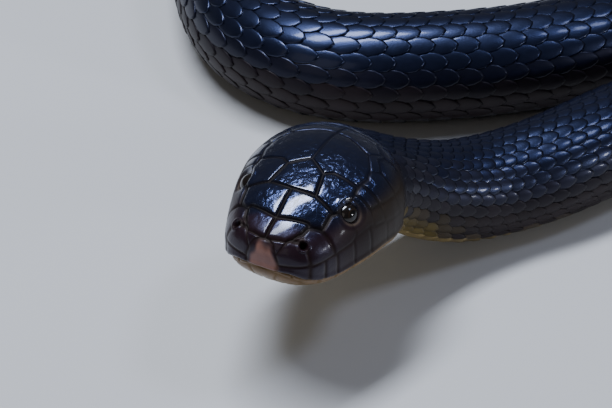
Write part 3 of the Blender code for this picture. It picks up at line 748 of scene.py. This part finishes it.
def throat_seams(place):
    """Distance from the seams of the throat's small scales, in staggered rows and longer than wide."""
    wide, long = THROAT_SCALE
    squash = 0.65
    out = place[:, 1] / wide
    back = place[:, 0] / long
    distances = []
    for row in (-1, 0, 1):
        centre = np.round(out) + row
        stagger = 0.5 * (np.abs(centre) % 2)
        for step in (-1, 0, 1):
            at = np.round(back - stagger) + stagger + step
            distances.append(np.hypot((out - centre) * wide, (back - at) * long * squash))
    nearest, following = np.sort(distances, axis=0)[:2]
    return (following - nearest) / 2


def relief(place, normal):
    """How far the head's skin stands out from the plain form at each point, in head axes, and how
    much of a seam each point is."""
    apart, covered = seam_distance(place, normal)
    strength = seam_strength(place)
    seam = strength * bell(apart, 0, SEAM_WIDTH) * covered
    dome = strength * covered * SHIELD_DOME * (1 - np.exp(-apart / DOME_REACH))
    stands = SHIELD_RISE + dome - SEAM_DEPTH * seam
    throat = (normal[:, 2] < -0.2) & (covered < 0.5)
    small = bell(throat_seams(place), 0, THROAT_SEAM_WIDTH)
    stands = np.where(throat, THROAT_RISE - THROAT_SEAM_DEPTH * small, stands)
    seam = np.where(throat, 0.5 * small, seam)

    off = mouth_distance(place)
    for high, over, wide in MOUTH_RELIEF:
        stands += fade(place[:, 0], *MOUTH_END) * high * bell(off, over, wide)

    rim_high, rim_at, rim_wide = 0.35, 1.5, 0.4
    hole = np.linalg.norm(left_half(place) - NOSTRIL_PLACE, axis=1) / NOSTRIL_RADIUS
    stands -= NOSTRIL_DEPTH * np.exp(-hole ** 4)
    stands += rim_high * bell(hole, rim_at, rim_wide)
    return stands, seam


def brow(place, stands):
    """Lets the shield over each eye overhang it a little, like a brow."""
    from_edge, spread, high = 1.6, 1.1, 0.5
    offset, height, radius = around_eye(place)
    over = bell(radius - EYE_OPENING, from_edge, spread) * fade(offset[:, 2], 1.0, 4.0)
    return stands + high * over * (height > -1)


def open_eyes(place):
    """Slopes the skin in to meet each eye's ball at a low round rim, and sinks it under the ball.
    Points close to the opening's edge move onto it, so that it is round."""
    close, rim_foot, rim_rise, tuck = 0.17, 0.05, 0.30, 0.8
    offset, height, radius = around_eye(place)
    axis = unit(ORBIT_FACING)
    out = radius - EYE_OPENING
    on_edge = np.abs(out) < close
    across = offset - height[:, None] * axis
    across *= np.where(on_edge, EYE_OPENING / np.maximum(radius, 1), 1)[:, None]
    out = np.where(on_edge, 0, out)
    face = np.sqrt(np.maximum(EYE_RADIUS ** 2 - (EYE_OPENING + np.minimum(out, 0)) ** 2, 0))
    rim = rim_foot + rim_rise * fade(out, 0.0, 0.4)
    meets = mix(height, face + rim, fade(out, ORBIT_REACH, 0.3))
    meets = mix(meets, face - tuck, fade(out, 0.0, -0.2))
    moved = EYE_PLACE + across + meets[:, None] * axis
    moved[:, 1] *= np.where(place[:, 1] < 0, -1, 1)
    near = (height > -1) & (out < ORBIT_REACH)
    return np.where(near[:, None], moved, place)


# The skin.


def skin_rings():
    """The distances from the snout of the skin's rings, and how many points each has."""
    snout = (np.arange(1, SNOUT_STEPS + 1) / SNOUT_STEPS) ** 2 * SNOUT_REACH
    head = np.arange(SNOUT_REACH + HEAD_STEP, HEAD_LENGTH + PAST_HEAD, HEAD_STEP)
    rings = [(along, HEAD_SIDES) for along in np.concatenate([snout, head])]
    along = rings[-1][0]
    for sides, step in COARSER:
        last = TOTAL_LENGTH - BEFORE_TIP if (sides, step) == COARSER[-1] else along + STRETCH
        while along + step < last:
            along += step
            rings.append((along, sides))
    return rings


def split_level(quads, height):
    """Cuts each quad in two along its more level diagonal, or the lower one, so that grooves run on."""
    a, b, c, d = height[quads].T
    first = np.abs(a - c) + 0.5 * (a + c)
    second = np.abs(b - d) + 0.5 * (b + d)
    along_first = (first < second)[:, None]
    one = np.where(along_first, quads[:, [0, 1, 2]], quads[:, [0, 1, 3]])
    other = np.where(along_first, quads[:, [0, 2, 3]], quads[:, [1, 2, 3]])
    return np.concatenate([one, other])


def form_head(points, from_scales, bare):
    """Gives the head's rings their relief. Towards the scales the shields thin out."""
    grid = points.reshape(-1, HEAD_SIDES, 3)
    round_it = np.roll(grid, -1, axis=1) - np.roll(grid, 1, axis=1)
    normal = unit(np.cross(np.gradient(grid, axis=0), round_it)).reshape(-1, 3) @ HEAD_AXES.T
    place = in_head(points)
    stands, seam = relief(place, normal)
    stands = brow(place, stands) * at_least(LEAST_RELIEF, fade(from_scales, *RELIEF_FULL)) * bare
    return from_head(open_eyes(place + normal * stands[:, None])), place, stands, seam


def skin_finish(along, turn, place, from_scales, seam, bare):
    """The skin's colours and polish. The head's own run on to the scales, and on the jaw under them."""
    marks = body_marking(along, turn)
    polish = body_polish(turn)
    head = slice(len(place))
    share = np.where(place[:, 2] > mouth_height(place[:, 0]), fade(from_scales, *MARKS_FULL), bare)
    marks[head] = mix(marks[head], head_marking(place), share[:, None])
    # The seams are painted darker: partly the sutures' own tone, partly painted shade in their grooves.
    marks[head] *= (1 - SEAM_TONE_AND_SHADE * seam * share)[:, None]
    shields = head_polish(place) * (1 - np.minimum(1, SEAM_DULLNESS * seam))
    polish[head] = mix(polish[head], shields, share)
    return marks, polish


def make_skin():
    rings = skin_rings()
    along = np.concatenate([np.full(sides, at) for at, sides in rings])
    turn = np.concatenate([np.arange(sides) * 2 * math.pi / sides for _, sides in rings])
    turn = turn + CROWDING * np.sin(turn) + UNDER_BELLY
    from_scales = coat_start(turn) - along
    covered = fade(from_scales, *COAT_STEP)
    covered *= fade(along, TOTAL_LENGTH - TAIL_SPINE + 3, TOTAL_LENGTH - TAIL_SPINE - 1)
    points = on_body(along, turn, COAT * (1 - covered))
    head = slice(HEAD_SIDES * sum(sides == HEAD_SIDES for _, sides in rings))
    bare = 1 - covered[head]
    points[head], place, stands, seam = form_head(points[head], from_scales[head], bare)
    marks, polish = skin_finish(along, turn, place, from_scales[head], seam, bare)

    # A point closes each end. The tail's takes its finish from the back, not from the belly.
    count = len(points)
    last = rings[-1][1]
    tip = on_spine(np.array([TOTAL_LENGTH]))
    points = np.concatenate([points, [points[:HEAD_SIDES].mean(axis=0)], tip])
    ends = [0, count - last // 2]
    quads, triangles = stitch([sides for _, sides in rings])
    triangles.append(fan(count, np.arange(HEAD_SIDES)))
    triangles.append(turned_over(fan(count + 1, np.arange(count - last, count))))
    on_head = (quads < len(place)).all(axis=1)
    triangles.append(split_level(quads[on_head], stands))
    skin = new_mesh("skin", points, [quads[~on_head], np.concatenate(triangles)])
    paint(skin, np.concatenate([marks, marks[ends]]))
    shine(skin, np.concatenate([polish, polish[ends]]))
    return skin


# The scales.


def row_weight(row, along):
    """1 where a row of scales is full, falling to 0 where it runs out."""
    ends = ROW_ENDS.get(abs(row))
    if ends is None:
        return np.ones_like(along)
    return fade(along, ends + ROW_FADE, ends - ROW_FADE)


def row_layout(along):
    """Each row's turn round the body and its width in turn, for distances from the snout, and the
    width of a full row."""
    outer = max(ROW_ENDS)
    weights = {row: row_weight(row, along) for row in range(-outer, outer + 1)}
    full = 2 * (math.pi - BELLY_PLATE_TURN) / sum(weights.values())
    layout = {}
    for row in range(outer + 1):
        inner = sum(weights[j] for j in range(1, row)) if row else 0
        centre = (0.5 + inner + weights[row] / 2 if row else 0) * full
        width = weights[row] * full
        layout[row] = (OVER_BACK - centre, width)
        layout[-row] = (OVER_BACK + centre, width)
    return layout, full


def coat_grid():
    """Distances from the snout, with the rows' layout, a full row's width, the pitch of the scales
    along the body and the count of scales so far at each."""
    along = np.arange(COAT_FROM, TOTAL_LENGTH)
    layout, full = row_layout(along)
    pitch = PITCH_TO_WIDTH * full * smooth_steps(GIRTH, along)
    return along, layout, full, pitch, np.concatenate([[0], np.cumsum(1 / pitch[:-1])])


def plate_shape(sides, rings, blunt_ends, blunt_sides):
    """A plate's points: the place along it from 0 at its root to 1, across from -1 to 1, and how far
    from its middle to its edge. The last ring of points lies under the edge, then the middle's twin."""
    turn = np.arange(sides) * 2 * math.pi / sides
    across, along = np.cos(turn), np.sin(turn)
    power = max(blunt_ends, blunt_sides)
    reach = 1 / (np.abs(along) ** blunt_ends + np.abs(across) ** blunt_sides) ** (1 / power)
    middle = np.array([[0.5], [0.0], [0.0]])
    points = [middle]
    for ring in (*rings, 1.0):
        points.append([0.5 + 0.5 * ring * reach * along, ring * reach * across, np.full(sides, ring)])
    return np.concatenate([*points, middle], axis=1)


def set_plates(name, at, turn, length, width, shape, painted_edge_shade=0.35):
    """One mesh of many plates. Each is rooted at a distance from the snout and a turn round the body,
    bends with the body, and rises from its root to its free end over the next plate's root."""
    sides, rings, blunt_ends, blunt_sides = shape
    a, b, out = plate_shape(sides, rings, blunt_ends, blunt_sides)
    count, corners = len(at), len(a)
    top = np.arange(corners) < corners - sides - 1
    along = at[:, None] + a * length[:, None]
    turns = turn[:, None] + b * width[:, None] / 2
    # The first rows start higher, so that they follow on from the head's shields with no ledge.
    root = ROOT + FIRST_ROOTS * fade(at - coat_start(turn), *FIRST_ROWS)[:, None]
    rise = root + (COAT - root) * np.clip(a, 0, 1) ** RISE_POWER
    upper = rise - EDGE_DROP * out ** 4 - SIDE_DROP * b ** 2
    height = np.where(top, upper, rise - EDGE_DROP - SCALE_THICKNESS)
    height = height + random.normal(0, TIP_ACROSS, count)[:, None] * b
    height = height + random.normal(0, TIP_ALONG, count)[:, None] * (a - 0.5)
    points = on_body(np.minimum(along, TOTAL_LENGTH - 0.5), turns, height).reshape(-1, 3)
    offsets = (np.arange(count) * corners)[:, None, None]
    plate = [turned_over(group) for group in round_faces(sides, len(rings) + 1)]
    faces = [(group[None] + offsets).reshape(-1, group.shape[1]) for group in plate]
    piece = new_mesh(name, points, faces)

    read_at = at + READ_FROM * length + random.normal(0, READ_ALONG, count)
    base = body_marking(read_at, turn + random.normal(0, READ_ROUND, count))
    base *= 1 + random.normal(0, SHADE_VARIES, (count, 1))
    # Each plate is painted darker towards its edge: painted shade where the plates lap over one another.
    shade = 1 - painted_edge_shade * np.clip(out, 0, 1) ** 3
    paint(piece, np.clip(base[:, None, :] * shade[None, :, None], 0, 1).reshape(-1, 3))
    shine(piece, np.repeat(body_polish(turn), corners))
    bake_map(piece, at, turn, a, b, faces)
    return piece


def bake_map(piece, at, turn, a, b, faces):
    """Each plate is a small patch at its root's place on the body's unwrap: along it and round it."""
    patch, end_margin, side_margin = 0.003, 0.01, 0.02
    round_it = ((turn - UNDER_BELLY) % (2 * math.pi)) / (2 * math.pi)
    root = np.stack([end_margin + (1 - 2 * end_margin) * at / TOTAL_LENGTH,
                     side_margin + (1 - 2 * side_margin) * round_it], axis=1)
    local = np.stack([(a - 0.5) * patch, b * patch / 2], axis=1)
    place = (root[:, None, :] + local[None]).reshape(-1, 2)
    corner = np.concatenate([group.ravel() for group in faces])
    layer = piece.data.uv_layers.new(name="OFBake")
    layer.data.foreach_set("uv", place[corner].astype(np.float32).ravel())


def scale_places(first, last):
    """Every scale's place between two distances from the snout: along, turn, length and width."""
    along, layout, full, pitch, count = coat_grid()
    found = []
    for row, (turn, width) in layout.items():
        steps = np.arange(1, int(count[-1])) + 0.5 * (abs(row) % 2)
        at = np.interp(steps, count, along)
        here, wide, step = (np.interp(at, along, values) for values in (turn, width, pitch))
        keep = (at >= first) & (at < last) & (wide > LEAST_WIDTH * np.interp(at, along, full))
        keep &= (at + 0.3 * step > coat_start(here)) & (at < TOTAL_LENGTH - TAIL_SPINE)
        long = step * SCALE_LENGTH
        root = at - SCALE_ROOT_BEFORE * long
        found.append(np.stack([root, here, long, wide * SCALE_WIDTH], axis=1)[keep])
    found = np.concatenate(found)
    found[:, 2:] *= 1 + random.normal(0, SIZE_VARIES, (len(found), 2))
    found[:, 1] += random.normal(0, TURN_VARIES, len(found))
    return found.T


def make_scales():
    """The scales of the neck, body and tail, in pieces small enough to handle. A scale's shape is its
    count of sides, where its rings of points lie, and how blunt its ends and sides are."""
    fine = (16, (0.45, 0.80, 1.0), 1.75, 1.7)
    plain = (12, (0.55, 0.85, 1.0), 1.75, 1.7)
    lengths = {"neck_scales": (COAT_FROM, 300, fine), "fore_body_scales": (300, 620, fine),
               "mid_body_scales": (620, 1250, plain), "rear_body_scales": (1250, 1880, plain),
               "tail_scales": (1880, TOTAL_LENGTH, plain)}
    return {name: set_plates(name, *scale_places(first, last), shape)
            for name, (first, last, shape) in lengths.items()}


def make_belly_plates():
    """The wide plates across the belly and under the tail, each lapping over the next."""
    along, _, _, pitch, count = coat_grid()
    at = np.interp(np.arange(2, int(count[-1])), count, along)
    at = at[(at > COAT_START[0][1]) & (at < TOTAL_LENGTH - TAIL_SPINE)]
    long = np.interp(at, along, pitch) * BELLY_PLATE_LENGTH
    turn = np.full(len(at), UNDER_BELLY)
    wide = np.full(len(at), 2 * BELLY_PLATE_TURN * BELLY_PLATE_WIDTH)
    shape = (28, (0.5, 0.85, 1.0), 6.0, 6.0)
    root = at - BELLY_ROOT_BEFORE * long
    return set_plates("belly_plates", root, turn, long, wide, shape, painted_edge_shade=0.2)


def make_eye(name, side):
    """The eye under its clear scale: a ball with the iris in front, on the left or, with side -1, on
    the right."""
    rings, sides = 47, 64
    gaze = unit(GAZE * [1, side, 1])
    right = unit(np.cross(gaze, [0, 0, 1]))
    top = np.cross(right, gaze)
    turn = np.arange(sides) * 2 * math.pi / sides
    away = np.linspace(0, math.pi, rings + 2)[1:-1]
    round_it = np.cos(turn)[None, :, None] * right + np.sin(turn)[None, :, None] * top
    ball = np.sin(away)[:, None, None] * round_it + np.cos(away)[:, None, None] * gaze
    local = np.concatenate([[gaze], ball.reshape(-1, 3), [-gaze]]) * EYE_RADIUS
    eye = new_mesh(name, from_head(EYE_PLACE * [1, side, 1] + local), round_faces(sides, rings))
    from_pupil = np.degrees(np.arccos(np.clip(local @ gaze / EYE_RADIUS, -1, 1)))
    paint(eye, iris_colour(from_pupil, np.arctan2(local @ top, local @ right)))
    return eye


# Materials.


def new_material(name, values):
    """A material whose shader has these values on its own sockets, with its tree and shader."""
    made = bpy.data.materials.new(name)
    made.use_nodes = True
    shader = made.node_tree.nodes["Principled BSDF"]
    for socket, value in values.items():
        shader.inputs[socket].default_value = value
    return made, made.node_tree, shader


def add(tree, kind, values, out=0):
    """Adds a node and gives one of its outputs. A value is a setting of the node, a number for one of
    its sockets, or the output of another node to link there."""
    node = tree.nodes.new("ShaderNode" + kind)
    for name, value in values.items():
        if isinstance(value, bpy.types.NodeSocket):
            tree.links.new(value, node.inputs[name])
        elif isinstance(name, str) and hasattr(node, name):
            setattr(node, name, value)
        else:
            node.inputs[name].default_value = value
    return node.outputs[out]


def noise(tree, where, millimetres, detail=2.0, roughness=0.5, out="Fac"):
    """Soft noise with features of about this size."""
    return add(tree, "TexNoise", {"Vector": where, "Scale": 1 / (millimetres * MM), "Detail": detail,
                                  "Roughness": roughness}, out)


def keratin(name, matt, polished, grain, vein, depth, coat, swell=0.0):
    """Keratin, as horn or a nail, thin over dark skin: a black satin with a tight, cold blue glint.
    Its roughness goes from matt to polished with the piece's polish, and its glint from brown to
    blue. Grain and vein are the sizes in millimetres of its faint pits and its fine wrinkles, and
    depth is how deep they go. Swell is how many times deeper the soft swells go that break a broad
    glint up, as on an old shield."""
    mottle_size, swell_size = 3.5, 2.8
    warm, cold = colour("#82766b"), colour("#9db4ff")
    made, tree, shader = new_material(name, {"IOR": 1.55, "Coat Roughness": 0.10})
    where = add(tree, "TexCoord", {}, "Object")
    marking = add(tree, "Attribute", {"attribute_name": "Marking"}, "Color")
    polish = add(tree, "Attribute", {"attribute_name": "Polish"}, "Fac")
    bluish = add(tree, "Math", {"operation": "POWER", 0: polish, 1: 2.0})

    mottle = noise(tree, where, mottle_size, 4.0, 0.6)
    lighter = add(tree, "MapRange", {"Value": mottle, "To Min": 0.7, "To Max": 1.35})
    smooth = add(tree, "MapRange", {"Value": polish, "To Min": matt, "To Max": polished})
    uneven = add(tree, "MapRange", {"Value": mottle, "To Min": -0.06, "To Max": 0.06})

    bent = noise(tree, where, 2 * vein, out="Color")
    bent = add(tree, "VectorMath", {"operation": "SCALE", 0: bent, "Scale": vein * MM})
    bent = add(tree, "VectorMath", {"operation": "ADD", 0: where, 1: bent})
    wrinkles = add(tree, "TexVoronoi", {"feature": "DISTANCE_TO_EDGE", "Vector": bent,
                                        "Scale": 1 / (vein * MM)}, "Distance")
    height = add(tree, "MapRange", {"Value": wrinkles, "From Max": 0.16, "To Max": 0.7})
    swells = noise(tree, where, swell_size, 1.0)
    height = add(tree, "Math", {"operation": "MULTIPLY_ADD", 0: swells, 1: swell, 2: height})
    pits = noise(tree, where, grain)
    height = add(tree, "Math", {"operation": "MULTIPLY_ADD", 0: height, 1: bluish, 2: pits})

    sockets = {
        "Base Color": add(tree, "VectorMath", {"operation": "SCALE", 0: marking, "Scale": lighter}),
        "Specular Tint": add(tree, "VectorMath",
                             {"operation": "MULTIPLY_ADD", 0: bluish, 1: cold - warm, 2: warm}),
        "Roughness": add(tree, "Math", {"operation": "ADD", 0: smooth, 1: uneven}),
        "Coat Weight": add(tree, "Math", {"operation": "MULTIPLY", 0: bluish, 1: coat}),
        "Normal": add(tree, "Bump", {"Height": height, "Strength": 1.0, "Distance": depth * MM}),
    }
    for socket, source in sockets.items():
        tree.links.new(source, shader.inputs[socket])
    return made


def wet_eye():
    """The clear scale over a snake's eye: as glossy as wet glass, with the dark iris behind it."""
    values = {"Roughness": 0.18, "IOR": 1.34, "Coat Weight": 0.7, "Coat Roughness": 0.03}
    made, tree, shader = new_material("spectacle_wet_clear", values)
    marking = add(tree, "Attribute", {"attribute_name": "Marking"}, "Color")
    tree.links.new(marking, shader.inputs["Base Color"])
    return made


def floor_finish():
    """Matt painted board, pale and plain."""
    return new_material("painted_board_matt", {"Base Color": (*colour("#bfbeba"), 1), "Roughness": 0.75})[0]


def finish(piece, material, slot, *nodes):
    """Gives a piece its material and says what it rides on and stands for. The slot is not used."""
    piece.data.materials.clear()
    piece.data.materials.append(material)
    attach(piece, "root")
    if nodes:
        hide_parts(*nodes)


# The stage: floor, lights and camera. Each light's place and target are in metres, then come its
# width and height, its power in watts and its tone.

CAMERA_ELEVATION = 39.0
CAMERA_PLACE = np.array([-193.0, -625.4, 346.6])
CAMERA_LENS = 85.5
SENSOR = 36.0
FLOOR_HALF = 4000.0
HEAD_TARGET = SNOUT_TIP * MM
LIGHTS = {
    "top": ((-0.50, 0.05, 1.48), HEAD_TARGET, (0.95, 0.30), 38, "#e2ebff"),
    "brow": ((0.53, -0.18, 1.23), HEAD_TARGET, (0.24, 0.24), 4, "#cfdcff"),
    "side": ((1.35, -0.95, 0.48), (-0.08, -0.2, 0.02), (0.16, 0.16), 6, "#f2f5ff"),
    "fill": ((-1.2, -1.6, 0.9), HEAD_TARGET, (1.2, 1.2), 3, "#fff4ea"),
}
STUDIO_TONE = "#d8dce4"
STUDIO_STRENGTH = 0.14


def make_camera():
    data = bpy.data.cameras.new("camera")
    data.sensor_width = SENSOR
    data.lens = CAMERA_LENS
    data.clip_start = 0.01
    camera = new_object("camera", data)
    camera.location = CAMERA_PLACE * MM
    camera.rotation_euler = (math.radians(90 - CAMERA_ELEVATION), 0, 0)
    bpy.context.scene.camera = camera


def area_light(name, place, target, size, power, tone):
    """A soft light at a place, turned to its target."""
    data = bpy.data.lights.new(name, "AREA")
    data.shape = "RECTANGLE"
    data.size, data.size_y = size
    data.energy = power
    data.color = colour(tone)
    light = new_object(name, data)
    light.location = place
    x, y, z = np.array(place, float) - np.array(target, float)
    light.rotation_euler = (math.atan2(math.hypot(x, y), z), 0, math.atan2(y, x) + math.pi / 2)


def make_stage():
    corners = np.array([(-1, -1, 0), (1, -1, 0), (1, 1, 0), (-1, 1, 0)]) * FLOOR_HALF
    floor = new_mesh("floor", corners, [np.array([[0, 1, 2, 3]])], smooth=False)
    floor.data.materials.append(floor_finish())
    for name, settings in LIGHTS.items():
        area_light(name, *settings)
    world = bpy.data.worlds.new("studio")
    bpy.context.scene.world = world
    world.use_nodes = True
    light = world.node_tree.nodes["Background"]
    light.inputs["Color"].default_value = (*colour(STUDIO_TONE), 1)
    light.inputs["Strength"].default_value = STUDIO_STRENGTH


def main():
    make_camera()
    shield = keratin("keratin_shields_polished", matt=0.52, polished=0.20, grain=0.6, vein=1.5,
                     depth=0.036, coat=0.8, swell=11.0)
    scale = keratin("keratin_scales_oiled", matt=0.52, polished=0.32, grain=0.5, vein=1.4,
                    depth=0.015, coat=0.2)
    belly = keratin("keratin_belly_plates_satin", matt=0.45, polished=0.35, grain=0.6, vein=1.6,
                    depth=0.015, coat=0.1)
    eye = wet_eye()
    bodies = sorted(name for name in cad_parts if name.startswith(("body_", "tail_")))
    finish(make_skin(), shield, "head_shields", "head", "lower_jaw", "neck", *bodies)
    for name, piece in make_scales().items():
        finish(piece, scale, "neck_scales" if name == "neck_scales" else "body_scales")
    finish(make_belly_plates(), belly, "throat_scales")
    finish(make_eye("left_eye", 1), eye, "eye", "eye_left")
    finish(make_eye("right_eye", -1), eye, "eye", "eye_right")
    make_stage()


main()
